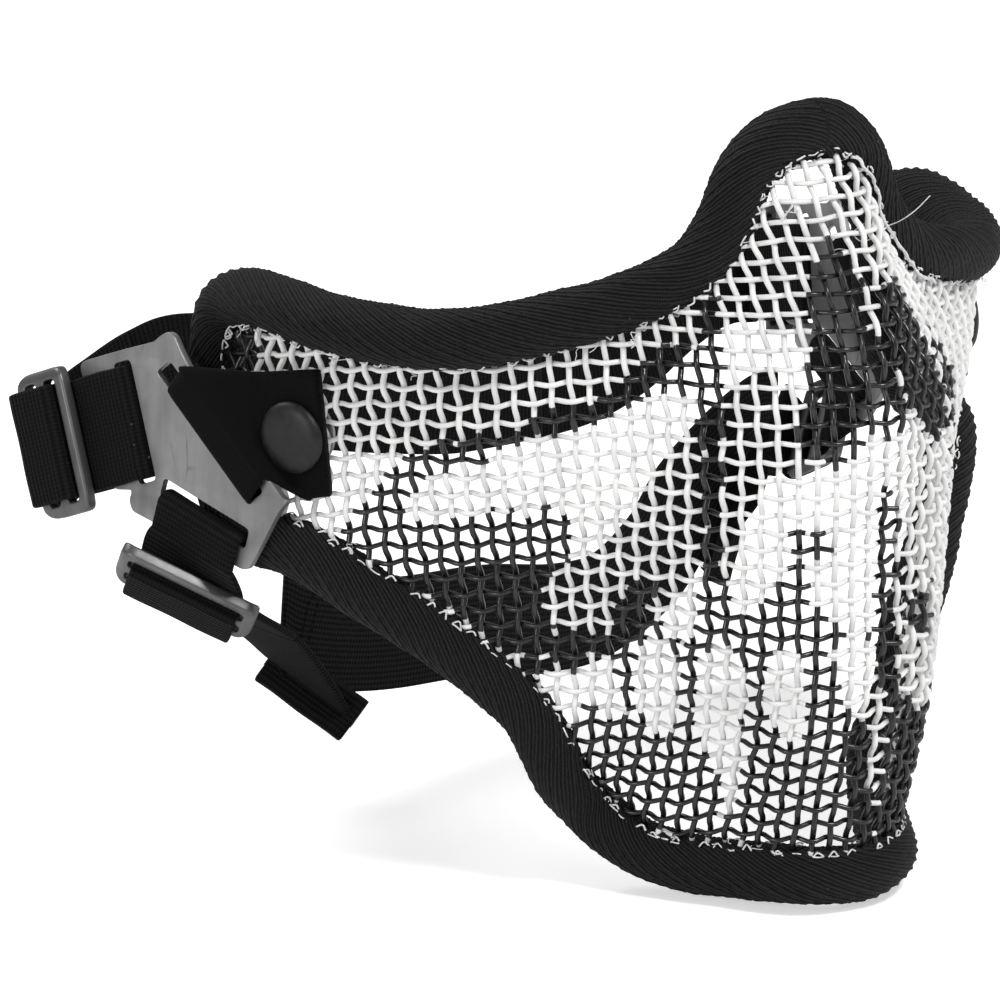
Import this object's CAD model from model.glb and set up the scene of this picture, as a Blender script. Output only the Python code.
"""Lower-face mask of woven wire mesh, with a padded cloth edge, side plates and head straps.

The mask is worn facing -Y with +Z up, so the wearer's right is at -X. Lengths are in
millimetres unless noted; meshes are written in metres. The wire mesh lies on a spline surface
with mesh coordinates (u, v): u runs from the wearer's right to left, v upward, one wire per unit.
"""
import bpy
import bmesh
import math
import random
import numpy as np
from mathutils import Vector, Matrix


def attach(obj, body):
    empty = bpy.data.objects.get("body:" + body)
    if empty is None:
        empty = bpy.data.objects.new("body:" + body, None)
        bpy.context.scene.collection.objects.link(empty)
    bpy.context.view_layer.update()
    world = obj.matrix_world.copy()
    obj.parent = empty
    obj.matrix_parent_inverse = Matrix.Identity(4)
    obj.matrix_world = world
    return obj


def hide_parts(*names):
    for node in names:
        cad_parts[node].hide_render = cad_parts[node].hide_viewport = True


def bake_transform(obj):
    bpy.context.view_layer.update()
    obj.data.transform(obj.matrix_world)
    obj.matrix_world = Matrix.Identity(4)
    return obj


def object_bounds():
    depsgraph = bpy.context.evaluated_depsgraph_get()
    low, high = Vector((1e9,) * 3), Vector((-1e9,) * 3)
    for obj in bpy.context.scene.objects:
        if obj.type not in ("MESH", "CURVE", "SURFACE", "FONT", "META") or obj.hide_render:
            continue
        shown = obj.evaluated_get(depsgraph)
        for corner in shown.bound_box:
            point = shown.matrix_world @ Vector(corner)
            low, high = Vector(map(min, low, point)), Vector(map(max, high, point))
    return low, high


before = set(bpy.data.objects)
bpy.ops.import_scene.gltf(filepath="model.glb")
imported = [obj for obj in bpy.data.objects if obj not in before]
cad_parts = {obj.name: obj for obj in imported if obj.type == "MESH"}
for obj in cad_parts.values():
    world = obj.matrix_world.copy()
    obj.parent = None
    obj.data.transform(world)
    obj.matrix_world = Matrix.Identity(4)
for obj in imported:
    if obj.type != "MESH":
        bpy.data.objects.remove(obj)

cad_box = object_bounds()
rng = random.Random(7)
MM = 0.001
TURN = 2 * math.pi

# ------------------------------------------------------------------ mesh surface tables
KNOTS_HALF = [43.0, 43.0, 43.0, 43.0, 36.0, 29.0, 23.0, 17.0, 12.0, 8.0, 5.0, 3.0, 1.3]
KNOTS_U = [-knot for knot in KNOTS_HALF] + [0.0] + KNOTS_HALF[::-1]
KNOTS_V = [-1.0] * 4 + [6.0, 12.0, 18.0, 24.0, 30.0, 36.0] + [42.0] * 4
# Control points (x, y, z): each list runs upward, the lists go from the right rim to the middle.
HALF_NET = [
    [(-89.24, 114.86, -94.83), (-89.24, 114.86, -87.83), (1220.32, 114.86, -74.83),
     (-73.10, 28.44, -42.25), (-70.50, 28.97, -24.31), (-70.16, 30.15, -6.54),
     (-68.23, 30.72, 11.75), (-67.47, 31.14, 29.14), (-60.05, 30.60, 43.62),
     (-89.24, 114.86, 34.17)],
    [(-84.56, 109.66, -94.83), (-84.56, 109.66, -87.83), (1073.62, 1080.20, -12.43),
     (-68.27, 20.80, -41.59), (-71.06, 22.44, -23.74), (-69.38, 23.25, -5.56),
     (-68.96, 23.81, 11.40), (-65.96, 23.88, 30.25), (-76.54, 26.35, 37.44),
     (-84.56, 109.66, 34.17)],
    [(-75.19, 99.25, -94.83), (-75.19, 99.25, -87.83), (-102.67, -78.04, -63.96),
     (-78.92, 6.59, -43.19), (-72.18, 6.91, -24.64), (-73.15, 8.83, -7.29),
     (-68.58, 9.49, 12.67), (-69.21, 10.43, 28.88), (-44.30, 6.93, 50.19),
     (-75.19, 99.25, 34.17)],
    [(-61.80, 84.39, -94.83), (400.54, -86.65, 324.21), (-75.92, 11.31, -66.35),
     (-53.41, -9.57, -36.16), (-63.19, -8.87, -19.63), (-61.30, -9.43, 0.46),
     (-67.08, -8.71, 16.29), (-59.74, -10.91, 36.72), (-112.86, 1.07, 32.69),
     (-61.80, 84.39, 34.17)],
    [(-56.65, 1.50, -58.46), (-49.56, -28.00, -104.38), (-45.59, -17.45, -52.10),
     (-47.23, -20.95, -36.11), (-46.72, -23.25, -19.24), (-53.72, -25.20, -1.63),
     (-52.21, -26.86, 17.79), (-59.05, -22.22, 34.58), (-26.83, -46.55, 53.38),
     (-49.09, 70.27, 34.17)],
    [(-26.56, -24.76, -71.78), (-28.94, -21.46, -58.67), (-31.30, -30.80, -55.06),
     (-31.88, -32.70, -35.11), (-36.46, -34.63, -15.82), (-38.13, -37.21, 1.02),
     (-40.49, -35.23, 18.47), (-36.95, -36.21, 38.94), (-59.35, -27.27, 43.77),
     (-37.72, 57.64, 34.17)],
    [(-24.61, -36.68, -72.77), (-24.75, -39.16, -66.77), (-25.57, -43.07, -53.04),
     (-25.71, -45.70, -32.62), (-28.36, -48.07, -16.93), (-28.12, -48.67, 1.72),
     (-26.91, -43.99, 19.33), (-26.28, -34.89, 33.04), (-22.65, -32.21, 49.85),
     (160.91, -75.32, -435.20)],
    [(-16.62, -46.31, -69.47), (-17.35, -47.62, -62.55), (-17.00, -51.31, -50.14),
     (-20.19, -57.19, -34.62), (-21.10, -57.42, -15.77), (-23.02, -59.96, 1.08),
     (-18.67, -52.60, 18.58), (-18.11, -43.63, 32.32), (-19.15, -35.11, 44.93),
     (-21.97, -32.10, 57.19)],
    [(-13.21, -54.52, -70.17), (-13.85, -56.61, -63.37), (-14.93, -60.90, -52.12),
     (-14.50, -63.91, -33.76), (-15.21, -64.72, -16.17), (-14.73, -64.94, 0.85),
     (-13.53, -60.19, 18.83), (-12.52, -49.56, 33.69), (-12.83, -43.61, 42.00),
     (-11.91, -40.59, 47.62)],
    [(-8.59, -59.71, -69.94), (-9.27, -61.26, -62.97), (-9.05, -64.77, -50.93),
     (-9.75, -68.80, -33.77), (-8.81, -66.94, -16.02), (-8.69, -67.74, 1.08),
     (-8.37, -64.32, 19.22), (-9.30, -55.18, 34.82), (-9.63, -48.63, 47.63),
     (-9.99, -46.08, 51.76)],
    [(-4.17, -61.76, -70.03), (-4.26, -62.61, -62.86), (-4.20, -66.52, -51.50),
     (-4.43, -69.39, -33.53), (-4.02, -67.63, -15.85), (-4.54, -70.88, 0.64),
     (-4.23, -67.45, 18.88), (-4.92, -57.97, 34.56), (-4.96, -51.32, 45.83),
     (-3.55, -48.68, 49.86)],
    [(0.0, -62.15, -70.86), (0.0, -64.02, -64.13), (0.0, -64.99, -51.30),
     (0.0, -69.32, -33.67), (0.0, -67.57, -16.60), (0.0, -69.97, 0.0),
     (0.0, -69.77, 19.57), (0.0, -57.60, 35.76), (0.0, -52.20, 46.15),
     (0.0, -48.69, 51.12)],
]
NET = np.array(HALF_NET + [[(-x, y, z) for x, y, z in row] for row in HALF_NET[:-1][::-1]])

# Half outlines (u, v) from the top middle round the right side to the bottom middle:
# the visible field of mesh, and the centre line of the padded roll around it.
FIELD_HALF = [
    (0.00, 40.01), (-2.67, 38.58), (-4.98, 36.02), (-7.30, 33.68), (-9.94, 31.86),
    (-12.86, 30.50), (-15.96, 29.58), (-19.17, 29.01), (-22.39, 28.76), (-25.59, 28.80),
    (-28.86, 29.21), (-32.31, 30.09), (-35.72, 31.04), (-38.10, 30.38), (-38.92, 27.53),
    (-38.65, 24.00), (-37.14, 21.58), (-33.99, 20.86), (-31.05, 19.46), (-28.57, 17.29),
    (-25.97, 15.26), (-23.37, 13.32), (-21.01, 11.14), (-19.09, 8.49), (-17.39, 5.61),
    (-15.52, 2.96), (-13.08, 1.04), (-9.90, 0.11), (-6.42, -0.14), (-3.16, -0.08), (0.00, -0.04),
]
EDGE_HALF = [
    (0.00, 41.63), (-3.81, 39.73), (-6.19, 37.09), (-8.34, 34.92), (-10.74, 33.27),
    (-13.43, 32.02), (-16.33, 31.16), (-19.37, 30.62), (-22.45, 30.38), (-25.48, 30.42),
    (-28.56, 30.81), (-31.82, 31.64), (-35.49, 32.64), (-39.36, 31.39), (-40.54, 27.61),
    (-40.23, 23.66), (-37.88, 20.13), (-34.31, 19.27), (-32.04, 18.18), (-29.62, 16.06),
    (-26.93, 13.96), (-24.38, 12.05), (-22.21, 10.06), (-20.47, 7.64), (-18.77, 4.77),
    (-16.73, 1.89), (-13.80, -0.41), (-10.15, -1.49), (-6.44, -1.75), (-3.11, -1.70),
    (0.00, -1.66),
]
BLACK, WHITE = 0, 1
# Paint patches: colour and outline (u, v). Later ones lie on top.
CAMO = [
    (BLACK, [
        (-29.9, 20.2), (-29.1, 21.0), (-27.9, 22.2), (-26.9, 23.2), (-25.4, 24.0), (-24.2, 24.6),
        (-22.0, 25.0), (-19.8, 25.2), (-19.2, 26.0), (-17.9, 26.2), (-15.5, 26.6), (-14.5, 27.4),
        (-13.7, 28.0), (-12.6, 28.8), (-11.8, 29.6), (-10.2, 29.8), (-9.0, 29.8), (-8.9, 27.2),
        (-10.0, 27.2), (-12.3, 26.8), (-13.4, 26.4), (-14.5, 25.8), (-15.7, 25.2), (-17.5, 24.8),
        (-19.4, 24.6), (-21.0, 24.2), (-21.7, 23.4), (-22.7, 23.6), (-24.1, 23.0), (-25.0, 22.6),
        (-25.9, 21.8), (-26.7, 20.6), (-26.3, 20.0)]),
    (BLACK, [
        (-30.6, 19.0), (-29.8, 20.4), (-28.0, 21.6), (-26.9, 20.6), (-26.3, 20.0), (-24.8, 20.0),
        (-22.5, 20.6), (-21.2, 20.4), (-20.3, 20.6), (-18.2, 20.2), (-17.7, 19.0), (-17.7, 17.6),
        (-18.2, 16.8), (-19.4, 16.2), (-19.7, 15.0), (-19.5, 13.6), (-18.8, 12.8), (-18.1, 12.0),
        (-18.3, 11.4), (-19.6, 12.0), (-20.9, 11.8), (-22.0, 12.6), (-23.1, 13.6), (-24.6, 14.6),
        (-26.0, 15.2), (-27.6, 16.2), (-28.5, 17.4), (-29.5, 18.4)]),
    (BLACK, [
        (-9.0, 32.4), (-8.1, 32.4), (-8.9, 25.8), (-9.3, 17.2), (-9.6, 12.4), (-10.4, 12.4),
        (-10.2, 17.8), (-10.3, 25.6)]),
    (BLACK, [
        (-15.7, 14.2), (-14.0, 16.4), (-13.0, 16.4), (-13.1, 15.0), (-13.9, 14.2), (-12.7, 14.0),
        (-12.6, 12.6), (-11.1, 12.2), (-11.1, 9.8), (-11.7, 9.8), (-12.4, 12.0), (-14.2, 12.2),
        (-14.6, 9.0), (-15.3, 9.0), (-15.3, 12.0), (-16.6, 12.0), (-18.8, 12.0), (-19.6, 12.8),
        (-18.2, 13.0), (-15.8, 12.8)]),
    (BLACK, [
        (-20.9, 11.8), (-19.6, 12.6), (-16.5, 12.6), (-14.1, 12.6), (-11.1, 12.8), (-10.4, 15.4),
        (-9.2, 17.8), (-8.6, 15.8), (-7.9, 15.0), (-6.3, 16.0), (-5.5, 18.0), (-4.8, 18.0),
        (-4.6, 15.8), (-3.2, 14.4), (-2.1, 13.2), (-0.9, 9.4), (0.9, -0.0), (-1.3, -0.2),
        (-9.5, 0.2), (-13.4, 1.0), (-16.0, 2.8), (-18.8, 7.8)]),
    (WHITE, [
        (-19.9, 12.0), (-18.0, 10.8), (-17.2, 11.8), (-15.8, 11.6), (-15.4, 10.2), (-15.2, 8.0),
        (-16.6, 8.6), (-17.5, 9.2), (-17.8, 7.8), (-18.8, 7.8), (-20.0, 9.6)]),
    (WHITE, [
        (-14.1, 12.6), (-12.6, 12.6), (-11.7, 11.2), (-11.7, 9.2), (-12.0, 6.8), (-13.3, 7.4),
        (-14.1, 8.8), (-14.6, 10.8)]),
    (WHITE, [
        (-10.5, 11.8), (-9.4, 13.2), (-8.0, 12.4), (-7.8, 9.6), (-7.8, 6.8), (-7.4, 1.8),
        (-8.4, 1.6), (-9.2, 5.0), (-10.2, 6.2), (-10.7, 9.2)]),
    (WHITE, [
        (-6.8, 12.2), (-5.7, 13.2), (-4.8, 12.4), (-4.4, 10.4), (-4.4, 7.4), (-5.3, 7.4),
        (-6.5, 8.8), (-6.8, 10.4)]),
    (WHITE, [(-3.0, 13.0), (-1.4, 13.2), (-0.5, 9.4), (-0.5, 7.8), (-1.8, 8.0), (-2.7, 9.8)]),
    (BLACK, [
        (-3.0, 33.2), (-0.9, 35.8), (-0.5, 34.4), (-0.2, 32.6), (-0.7, 30.0), (-1.4, 28.0),
        (-1.2, 25.4), (-1.2, 24.0), (-2.2, 23.4), (-4.9, 23.6), (-5.2, 24.8), (-4.8, 26.0),
        (-4.0, 28.0), (-3.4, 30.6)]),
    (BLACK, [
        (0.2, 32.6), (3.7, 32.6), (4.9, 30.6), (6.8, 27.8), (7.7, 25.4), (7.1, 23.4), (4.3, 23.8),
        (1.5, 26.4), (0.3, 29.4)]),
    (BLACK, [
        (-0.5, 22.4), (0.7, 21.6), (1.0, 17.4), (0.7, 14.0), (1.4, 9.0), (0.1, 9.2),
        (-0.9, 14.2), (-0.4, 18.8)]),
    (BLACK, [(-5.5, 19.8), (-3.3, 19.2), (-3.3, 18.2), (-5.2, 18.6)]),
]
# Black patches that are neither repeated on the left nor wavy.
PLAIN_PATCHES = [
    [(-1.6, 29.6), (0.8, 30.2), (1.2, 24.8), (-0.6, 24.6), (-1.6, 26.0)],
    [(-39.8, 31.6), (-36.4, 31.6), (-35.9, 29.6), (-37.2, 27.6), (-39.8, 27.0)],
]


# ------------------------------------------------------------------ mesh surface
def spline_weights(knots, x):
    """Cubic B-spline weights of every control point at each x."""
    knots = np.array(knots, float)
    x = np.clip(x, knots[0], knots[-1] - 1e-9)
    n = len(knots) - 1
    rows = [((x >= knots[i]) & (x < knots[i + 1])).astype(float) for i in range(n)]
    for degree in (1, 2, 3):
        raised = []
        for i in range(n - degree):
            j = i + degree
            value = np.zeros_like(x)
            if knots[j] > knots[i]:
                value = value + (x - knots[i]) / (knots[j] - knots[i]) * rows[i]
            if knots[j + 1] > knots[i + 1]:
                fall = (knots[j + 1] - x) / (knots[j + 1] - knots[i + 1])
                value = value + fall * rows[i + 1]
            raised.append(value)
        rows = raised
    return np.stack(rows, 1)


def net_point(u, v):
    return np.einsum("ni,nj,ijk->nk", spline_weights(KNOTS_U, u), spline_weights(KNOTS_V, v), NET)


def surface(u, v):
    """Points on the mesh surface, carried on straight beyond its ends in v."""
    u, v = np.broadcast_arrays(np.atleast_1d(np.asarray(u, float)),
                               np.atleast_1d(np.asarray(v, float)))
    u_in = np.clip(u, KNOTS_U[0], KNOTS_U[-1])
    v_in = np.clip(v, KNOTS_V[0], KNOTS_V[-1])
    step = 0.02
    point = net_point(u_in, v_in)
    inner = net_point(u_in, np.where(v < v_in, v_in + step, v_in - step))
    return point + (point - inner) * (np.abs(v - v_in) / step)[:, None]


def unit(v):
    """One vector, or each row of vectors, at length one."""
    v = np.asarray(v, float)
    return v / np.linalg.norm(v, axis=-1, keepdims=True)


def surface_normal(u, v):
    """Unit normals on the outer side of the mesh."""
    step = 0.05
    along_u = surface(np.asarray(u) + step, v) - surface(np.asarray(u) - step, v)
    along_v = surface(u, np.asarray(v) + step) - surface(u, np.asarray(v) - step)
    return unit(np.cross(along_u, along_v))


def mirrored_loop(half):
    return np.array(list(half) + [(-u, v) for u, v in half[1:-1][::-1]])


def inside(outline, u, v):
    hit = np.zeros(u.shape, bool)
    u0, v0 = outline[-1]
    for u1, v1 in outline:
        rise = (v1 - v0) if v1 != v0 else 1e-12
        hit ^= ((v0 > v) != (v1 > v)) & (u < (u1 - u0) * (v - v0) / rise + u0)
        u0, v0 = u1, v1
    return hit


# ------------------------------------------------------------------ paths
def tangents(path):
    steps = np.gradient(path, axis=0)
    return steps / np.maximum(np.linalg.norm(steps, axis=1), 1e-9)[:, None]


def arc_length(path):
    """Distance along a path at each of its points."""
    return np.r_[0, np.cumsum(np.linalg.norm(np.diff(path, axis=0), axis=1))]


def spline(points, steps):
    """Catmull-Rom curve through rows of numbers."""
    p = np.asarray(points, float)
    p = np.vstack([2 * p[0] - p[1], p, 2 * p[-1] - p[-2]])
    rows = []
    for p0, p1, p2, p3 in zip(p, p[1:], p[2:], p[3:]):
        for t in np.arange(steps) / steps:
            rows.append(0.5 * ((2 * p1) + (-p0 + p2) * t + (2 * p0 - 5 * p1 + 4 * p2 - p3) * t * t
                               + (-p0 + 3 * p1 - 3 * p2 + p3) * t ** 3))
    rows.append(p[-2])
    return np.array(rows)


def resample(path, step):
    path = np.asarray(path, float)
    run = arc_length(path)
    count = max(2, int(round(run[-1] / step)) + 1)
    even = np.linspace(0, run[-1], count)
    return np.stack([np.interp(even, run, path[:, k]) for k in range(path.shape[1])], 1)


def arc_path(x, y, radius, start, end, count=10):
    """Points on an arc, from and to angles in degrees."""
    angles = np.radians(np.linspace(start, end, count))
    return [(x + radius * math.cos(a), y + radius * math.sin(a)) for a in angles]


def smooth_noise(x, seed):
    """Sum of sines of three octaves with seeded pitch and phase."""
    x = np.asarray(x, float)
    draw = np.random.RandomState(seed)
    total = np.zeros_like(x)
    for octave in (1, 2, 4):
        for _ in range(3):
            wave = np.sin(x * octave * draw.uniform(0.7, 1.4) + draw.uniform(0, 6.28))
            total += wave / octave / 3
    return total


def closed_curve(points, count):
    """Even samples of the closed cubic spline through the points, and its length."""
    n = len(points)
    following = np.roll(points, -1, 0)
    gaps = np.linalg.norm(following - points, axis=1)
    knots = np.r_[0, np.cumsum(gaps)]
    matrix = np.zeros((n, n))
    target = np.zeros((n, 3))
    for i in range(n):
        before, after = gaps[i - 1], gaps[i]
        matrix[i, i - 1] += before
        matrix[i, i] += 2 * (before + after)
        matrix[i, (i + 1) % n] += after
        target[i] = 6 * ((following[i] - points[i]) / after - (points[i] - points[i - 1]) / before)
    bend = np.linalg.solve(matrix, target)

    def place(t):
        i = np.clip(np.searchsorted(knots, t, side="right") - 1, 0, n - 1)
        j = (i + 1) % n
        gap = gaps[i][:, None]
        past = (t - knots[i])[:, None]
        left = gap - past
        return ((bend[i] * left ** 3 + bend[j] * past ** 3) / (6 * gap)
                + (points[i] / gap - bend[i] * gap / 6) * left
                + (points[j] / gap - bend[j] * gap / 6) * past)

    last = knots[-1] * (1 - 1e-9)
    dense = place(np.linspace(0, last, 6000))
    run = arc_length(np.vstack([dense, dense[:1]]))
    even = np.linspace(0, run[-1], count, endpoint=False)
    t = np.interp(even, run, np.linspace(0, knots[-1], 6001))
    return place(np.minimum(t, last)), run[-1]


# ------------------------------------------------------------------ mesh helpers
def link_mesh(name, mesh):
    mesh.polygons.foreach_set("use_smooth", [True] * len(mesh.polygons))
    mesh.update()
    piece = bpy.data.objects.new(name, mesh)
    bpy.context.scene.collection.objects.link(piece)
    return piece


def face_outward(mesh, merge_distance=None):
    bm = bmesh.new()
    bm.from_mesh(mesh)
    if merge_distance:
        bmesh.ops.remove_doubles(bm, verts=bm.verts, dist=merge_distance)
    bmesh.ops.recalc_face_normals(bm, faces=bm.faces)
    bm.to_mesh(mesh)
    bm.free()
    mesh.update()


def raw_mesh(name, vertices, faces):
    mesh = bpy.data.meshes.new(name)
    mesh.from_pydata((np.asarray(vertices) * MM).tolist(), [], faces)
    return mesh


def solid(name, vertices, faces, uv=None):
    """Closed mesh object; uv holds one pair per vertex."""
    mesh = raw_mesh(name, vertices, faces)
    if uv is not None:
        layer = mesh.uv_layers.new(name="UVMap")
        corners = np.zeros(len(mesh.loops), np.int64)
        mesh.loops.foreach_get("vertex_index", corners)
        layer.data.foreach_set("uv", np.asarray(uv, np.float32)[corners].ravel())
    piece = link_mesh(name, mesh)
    face_outward(mesh)
    return piece


def grid_faces(rows, around, first=0, closed=False):
    """Quads between rings of vertices; closed also joins the last ring to the first."""
    i = np.arange(rows if closed else rows - 1)[:, None]
    j = np.arange(around)[None, :]
    here, there = first + i * around, first + (i + 1) % rows * around
    beside = (j + 1) % around
    quads = np.stack([here + j, here + beside, there + beside, there + j], -1)
    return quads.reshape(-1, 4).tolist()


def band_faces(rows, columns, edge_points, flip_start=False):
    """Skin and end caps of a band whose section is top, edge, underside, edge."""
    around = 2 * (columns + edge_points)
    faces = grid_faces(rows, around)
    for first, flip in ((0, flip_start), ((rows - 1) * around, False)):
        top = [first + q for q in range(columns)]
        under = [first + 2 * columns + edge_points - 1 - q for q in range(columns)]
        cap = [[top[q], top[q + 1], under[q + 1], under[q]] for q in range(columns - 1)]
        cap.append(list(range(top[-1], top[-1] + edge_points + 2)))
        cap.append(list(range(under[0], under[0] + edge_points + 1)) + [first])
        faces += [face[::-1] if flip else face for face in cap]
    return faces


class Tubes:
    """Collects many round threads or wires into one mesh."""

    def __init__(self):
        self.rings, self.faces, self.values, self.count = [], [], [], 0

    def add(self, path, radius, sides=6, value=None):
        path = np.asarray(path, float)
        rows = len(path)
        along = tangents(path)
        # side vectors carried along with the least twist
        side = [unit(np.cross(along[0], (0.31, 0.12, 0.94)))]
        for direction in along[1:]:
            side.append(unit(side[-1] - direction * (side[-1] @ direction)))
        side = np.array(side)
        other = np.cross(along, side)
        radius = np.broadcast_to(np.asarray(radius, float), (rows,))
        angle = (np.arange(sides) / sides * 2 * math.pi)[None, :, None]
        spoke = np.cos(angle) * side[:, None] + np.sin(angle) * other[:, None]
        ring = path[:, None] + radius[:, None, None] * spoke
        self.rings.append(ring.reshape(-1, 3))
        self.values.append(np.repeat(np.zeros(rows) if value is None else value, sides))
        self.faces += grid_faces(rows, sides, self.count)
        last = self.count + (rows - 1) * sides
        self.faces.append(list(range(self.count, self.count + sides))[::-1])
        self.faces.append(list(range(last, last + sides)))
        self.count += rows * sides

    def build(self, name, attribute):
        mesh = raw_mesh(name, np.concatenate(self.rings), self.faces)
        layer = mesh.attributes.new(attribute, "FLOAT", "POINT")
        layer.data.foreach_set("value", np.concatenate(self.values).astype(np.float32))
        return link_mesh(name, mesh)


WEB_HALF = 0.65  # half thickness of the webbing
WEB_COLUMNS = 15
WEB_EDGE = 0.45  # width of the rounded margin


def ribbon(name, centres, wides, half_width, half_thick=WEB_HALF, wobble=0.0, seed=1):
    """Webbing of rounded section along a path, with the width direction at each point."""
    centres = np.asarray(centres, float)
    wides = unit(wides)
    normals = unit(np.cross(tangents(centres), wides))
    flat = np.linspace(-1, 1, WEB_COLUMNS) * (half_width - WEB_EDGE)
    shoulder = half_width - WEB_EDGE * 0.3
    edge_x = np.array([shoulder, half_width, shoulder])
    edge_y = np.array([half_thick * 0.75, 0.0, -half_thick * 0.75])
    level = np.full(WEB_COLUMNS, half_thick)
    xs = np.concatenate([flat, edge_x, -flat, -edge_x])
    ys = np.concatenate([level, edge_y, -level, -edge_y])
    run = arc_length(centres)
    x = xs + (wobble * smooth_noise(run * 0.35, seed))[:, None] * np.sign(xs)[None]
    y = ys + wobble * 0.6 * np.sin(xs[None] * 0.55 + run[:, None] * 0.21 + seed)
    vertices = centres[:, None] + x[..., None] * wides[:, None] + y[..., None] * normals[:, None]
    uv = np.stack([np.repeat(run, len(xs)), np.tile(xs, len(run))], 1)
    faces = band_faces(len(run), WEB_COLUMNS, 3, flip_start=True)
    return solid(name, vertices.reshape(-1, 3), faces, uv)


def path_ribbon(name, origin, x, z, wide, path, half_width, step=0.5, **settings):
    """Webbing along a path drawn in the (x, z) plane of a frame."""
    p = resample(path, step)
    centres = origin + p[:, :1] * x + p[:, 1:2] * z
    return ribbon(name, centres, np.tile(wide, (len(centres), 1)), half_width, **settings)


# ------------------------------------------------------------------ materials
class Look:
    """A material being built on its Principled shader."""

    def __init__(self, name):
        self.material = bpy.data.materials.new(name)
        self.material.use_nodes = True
        self.tree = self.material.node_tree
        self.shader = self.tree.nodes["Principled BSDF"]
        self.relief = None

    def feed(self, socket, value):
        """Links an output to the socket, or sets the socket's value."""
        if isinstance(value, bpy.types.NodeSocket):
            self.tree.links.new(value, socket)
        else:
            socket.default_value = value

    def node(self, kind, **settings):
        node = self.tree.nodes.new(kind)
        for key, value in settings.items():
            if key in node.inputs:
                self.feed(node.inputs[key], value)
            else:
                setattr(node, key, value)
        return node

    def set(self, values):
        for key, value in values.items():
            self.feed(self.shader.inputs[key], value)

    def mapped(self, source, **settings):
        return self.node("ShaderNodeMapping", Vector=source, **settings).outputs["Vector"]

    def object_coords(self, stretch=(1, 1, 1)):
        return self.mapped(self.node("ShaderNodeTexCoord").outputs["Object"], Scale=stretch)

    def uv_coords(self, turn=0.0):
        return self.mapped(self.node("ShaderNodeUVMap").outputs["UV"], Rotation=(0, 0, turn))

    def noise(self, coords, **settings):
        return self.node("ShaderNodeTexNoise", Vector=coords, **settings).outputs["Fac"]

    def bands(self, coords, direction, **settings):
        return self.node("ShaderNodeTexWave", Vector=coords, wave_type="BANDS",
                         bands_direction=direction, **settings).outputs["Fac"]

    def cells(self, coords, **settings):
        return self.node("ShaderNodeTexVoronoi", Vector=coords, **settings).outputs["Distance"]

    def ramp(self, source, at, to):
        """Fades between two greys or colours, placed at two positions."""
        node = self.node("ShaderNodeValToRGB", Fac=source)
        for element, position, shade in zip(node.color_ramp.elements, at, to):
            element.position = position
            element.color = (*shade, 1) if isinstance(shade, tuple) else (shade, shade, shade, 1)
        return node.outputs["Color"]

    def math(self, operation, first, second):
        node = self.node("ShaderNodeMath", operation=operation)
        self.feed(node.inputs[0], first)
        self.feed(node.inputs[1], second)
        return node.outputs[0]

    def times(self, first, second):
        return self.math("MULTIPLY", first, second)

    def weighted_sum(self, first, first_share, second, second_share):
        return self.math("ADD", self.times(first, first_share), self.times(second, second_share))

    def mix(self, factor, first, second):
        node = self.node("ShaderNodeMix", data_type="RGBA")
        # factor and the two colour inputs
        for index, value in ((0, factor), (6, first), (7, second)):
            self.feed(node.inputs[index], value)
        return node.outputs[2]

    def bump(self, height, strength, distance):
        """Adds relief over any earlier relief; distance is in metres."""
        node = self.node("ShaderNodeBump", Height=height, Strength=strength, Distance=distance)
        if self.relief is not None:
            self.feed(node.inputs["Normal"], self.relief)
        self.relief = node.outputs["Normal"]
        self.set({"Normal": self.relief})

    def lint(self, coords, spot_scale, spot_size, patch_scale, patch_at):
        """Small spots of lint, kept to patches."""
        spots = self.ramp(self.cells(coords, Scale=spot_scale, feature="F1"),
                          at=(0.0, spot_size), to=(1.0, 0.0))
        patches = self.ramp(self.noise(coords, Scale=patch_scale), at=patch_at, to=(0.0, 1.0))
        return self.times(spots, patches)


def paint_look():
    """Black and white paint, chosen by the paint attribute with a ragged border."""
    look = Look("mesh_paint_look")
    paint = look.node("ShaderNodeAttribute", attribute_name="paint").outputs["Fac"]
    coords = look.object_coords()
    fine = look.noise(coords, Scale=1400.0, Detail=3.0)
    ragged = look.times(look.math("SUBTRACT", fine, 0.5), 0.5)
    edge = look.math("ADD", paint, ragged)
    border = (0.44, 0.56)
    broad = look.noise(coords, Scale=160.0, Detail=4.0)
    white = look.ramp(broad, at=(0.3, 0.6), to=((0.68, 0.68, 0.675), (0.84, 0.84, 0.83)))
    black = look.ramp(broad, at=(0.3, 0.7), to=((0.0035, 0.0035, 0.0038), (0.008, 0.008, 0.009)))
    look.set({
        "Base Color": look.mix(look.ramp(edge, at=border, to=(0.0, 1.0)), black, white),
        "Roughness": look.ramp(edge, at=border, to=(0.30, 0.42)),
        "Coat Weight": 0.25,
        "Coat Roughness": 0.2,
    })
    look.bump(fine, strength=0.25, distance=0.00008)
    return look.material


RIB_ANGLE = math.radians(31)  # slant of the ribs on the edge cloth


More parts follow.
